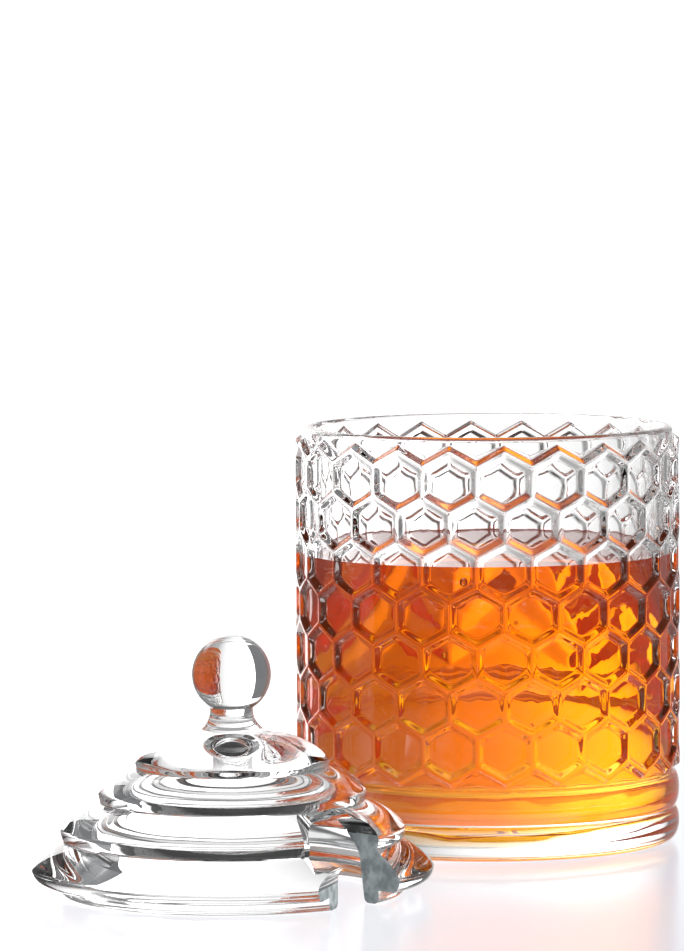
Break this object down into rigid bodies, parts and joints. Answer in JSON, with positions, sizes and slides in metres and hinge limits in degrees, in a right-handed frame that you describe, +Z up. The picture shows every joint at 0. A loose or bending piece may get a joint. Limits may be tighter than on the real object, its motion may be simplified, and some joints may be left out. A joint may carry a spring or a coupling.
{
  "type": "beehive honey pot",
  "caption": "Round pressed glass honey pot with raised honeycomb walls, filled with honey, and its stepped beehive lid with ball knob and side notch standing beside it.",
  "frame": {"origin": "on the jar's axis, in the plane of its flat base, where it stands on the table", "axes": "+Z up along the jar's axis; -Y towards the viewer; +X to the viewer's right. The lid stands in front of the jar and to its left"},
  "size_m": [0.1501, 0.1811, 0.0987],
  "materials": {
    "clear_glass": "clear polished pressed glass",
    "honey": "clear amber liquid, glossy"
  },
  "bodies": {
    "root": {"jar": "clear_glass", "honey": "honey", "lid": "clear_glass"}
  },
  "joints": []
}
